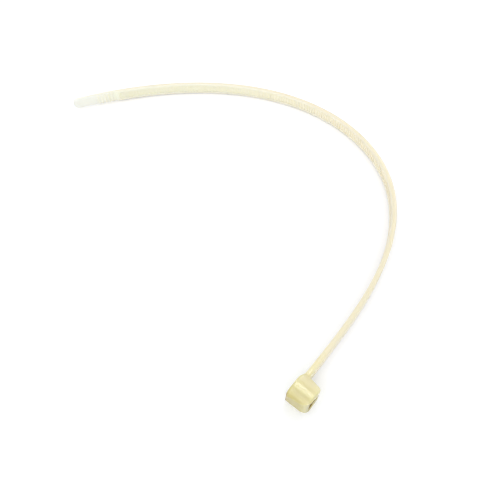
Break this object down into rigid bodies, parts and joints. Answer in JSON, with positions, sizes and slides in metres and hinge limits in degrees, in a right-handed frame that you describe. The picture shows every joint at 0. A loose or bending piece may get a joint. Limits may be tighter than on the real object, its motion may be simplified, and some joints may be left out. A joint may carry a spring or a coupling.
{
  "type": "cable tie",
  "caption": "Moulded nylon cable tie on its side: a toothed strap sprung into an open curl, a grip-ribbed tail and a slotted head with a ratchet pawl.",
  "frame": {"origin": "centre of the slot in the head", "axes": "+X out of the slot, the way the tail leaves it; +Y along the strap as it leaves the head; +Z across the strap's width, up as the tie lies on its side"},
  "size_m": [0.1225, 0.084, 0.0066],
  "materials": {
    "nylon": "natural nylon, slightly translucent, satin gloss"
  },
  "bodies": {
    "root": {"cable_tie": "nylon"}
  },
  "joints": []
}
